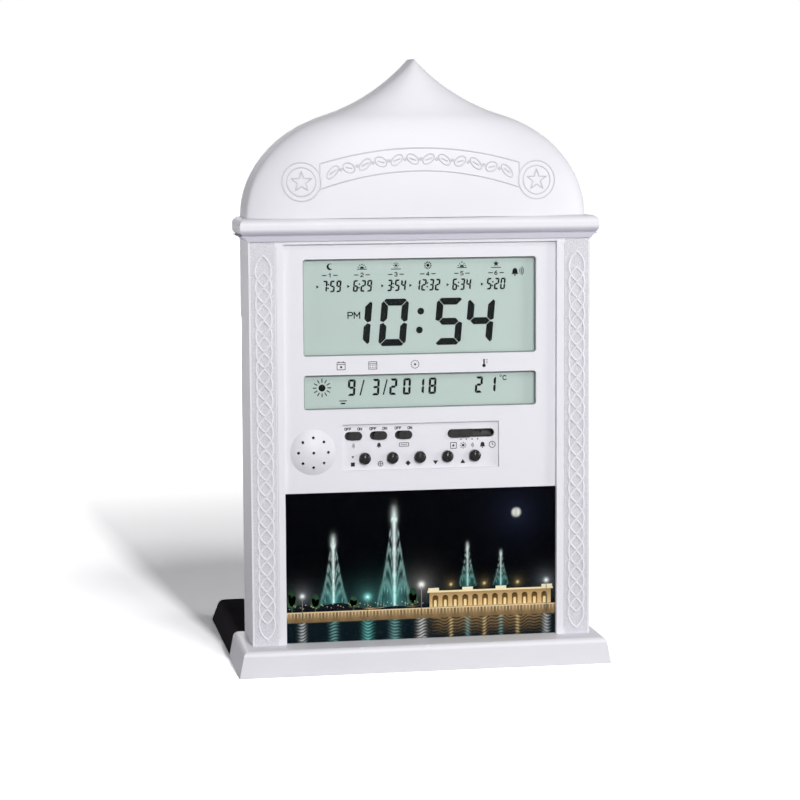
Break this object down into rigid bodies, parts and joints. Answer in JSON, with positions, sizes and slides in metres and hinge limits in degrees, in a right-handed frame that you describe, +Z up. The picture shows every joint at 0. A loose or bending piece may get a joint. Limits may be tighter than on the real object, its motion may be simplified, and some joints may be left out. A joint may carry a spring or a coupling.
{
  "type": "azan clock",
  "caption": "Free-standing digital clock with an onion-dome case, braided columns, two displays, a picture window, push buttons, slide switches and runner feet.",
  "frame": {"origin": "on the floor, under the middle of the base moulding", "axes": "+X to the viewer's right when facing the clock, +Y to the back, +Z up"},
  "size_m": [0.205, 0.164, 0.33],
  "materials": {
    "silver_plastic": "silver pearl lacquer, satin",
    "panel_plastic": "silver lacquer, matte",
    "black_plastic": "satin black",
    "black_gloss": "glossy black",
    "clear_plastic": "clear, polished",
    "print_card": "glossy print, night scene",
    "backing_board": "raw",
    "display_glass": "reflective liquid crystal",
    "white_plastic": "matte",
    "pink_rubber": "matte",
    "board_green": "solder mask over glass fibre",
    "resin_black": "glossy resin",
    "bright_steel": "zinc plated",
    "speaker_paper": "matte",
    "switch_plastic": "matte",
    "cell_wrap": "plain blue sleeve",
    "contact_metal": "nickel plated"
  },
  "bodies": {
    "case": {"base_moulding": "silver_plastic", "left_foot": "black_plastic", "right_foot": "black_plastic", "foot_screws": "bright_steel", "body_screws": "bright_steel", "front_frame": "silver_plastic", "cornice": "silver_plastic", "dome_cap": "silver_plastic", "front_panel": "panel_plastic", "clock_lens": "clear_plastic", "calendar_lens": "clear_plastic", "picture_lens": "clear_plastic", "picture_print": "print_card", "picture_backing": "backing_board", "clock_display": "display_glass", "calendar_display": "display_glass", "display_holder": "white_plastic", "contact_strips": "pink_rubber", "main_board": "board_green", "clock_chip": "resin_black", "quartz_crystal": "bright_steel", "board_screws": "bright_steel", "button_switches": "switch_plastic", "slide_switches": "bright_steel", "selector_switch": "bright_steel", "speaker_basket": "bright_steel", "speaker_cone": "speaker_paper", "speaker_magnet": "bright_steel", "rear_cover": "panel_plastic", "cover_screws": "bright_steel", "battery_cells": "cell_wrap", "leaf_contacts": "contact_metal", "flat_contacts": "contact_metal"},
    "button_1": {"push_button_1": "black_gloss"},
    "button_2": {"push_button_2": "black_gloss"},
    "button_3": {"push_button_3": "black_gloss"},
    "button_4": {"push_button_4": "black_gloss"},
    "button_5": {"push_button_5": "black_gloss"},
    "switch_1": {"slide_knob_1": "black_gloss"},
    "switch_2": {"slide_knob_2": "black_gloss"},
    "switch_3": {"slide_knob_3": "black_gloss"},
    "selector": {"selector_knob": "black_gloss"},
    "battery_lid": {"battery_door": "panel_plastic"}
  },
  "joints": [
    {"name": "button_1_press", "type": "slide", "parent": "case", "child": "button_1", "axis": [0, 1, 0], "range_m": [0, 0.0008], "stiffness_N_per_m": 300, "springref_m": -0.0006},
    {"name": "button_2_press", "type": "slide", "parent": "case", "child": "button_2", "axis": [0, 1, 0], "range_m": [0, 0.0008], "stiffness_N_per_m": 300, "springref_m": -0.0006},
    {"name": "button_3_press", "type": "slide", "parent": "case", "child": "button_3", "axis": [0, 1, 0], "range_m": [0, 0.0008], "stiffness_N_per_m": 300, "springref_m": -0.0006},
    {"name": "button_4_press", "type": "slide", "parent": "case", "child": "button_4", "axis": [0, 1, 0], "range_m": [0, 0.0008], "stiffness_N_per_m": 300, "springref_m": -0.0006},
    {"name": "button_5_press", "type": "slide", "parent": "case", "child": "button_5", "axis": [0, 1, 0], "range_m": [0, 0.0008], "stiffness_N_per_m": 300, "springref_m": -0.0006},
    {"name": "switch_1_slide", "type": "slide", "parent": "case", "child": "switch_1", "axis": [1, 0, 0], "range_m": [-0.002, 0]},
    {"name": "switch_2_slide", "type": "slide", "parent": "case", "child": "switch_2", "axis": [1, 0, 0], "range_m": [-0.002, 0]},
    {"name": "switch_3_slide", "type": "slide", "parent": "case", "child": "switch_3", "axis": [1, 0, 0], "range_m": [-0.002, 0]},
    {"name": "selector_slide", "type": "slide", "parent": "case", "child": "selector", "axis": [1, 0, 0], "range_m": [0, 0.012]},
    {"name": "battery_door_tip", "type": "hinge", "parent": "case", "child": "battery_lid", "pos_m": [0, 0.0267, 0.0416], "axis": [-1, 0, 0], "range_deg": [0, 60]}
  ]
}
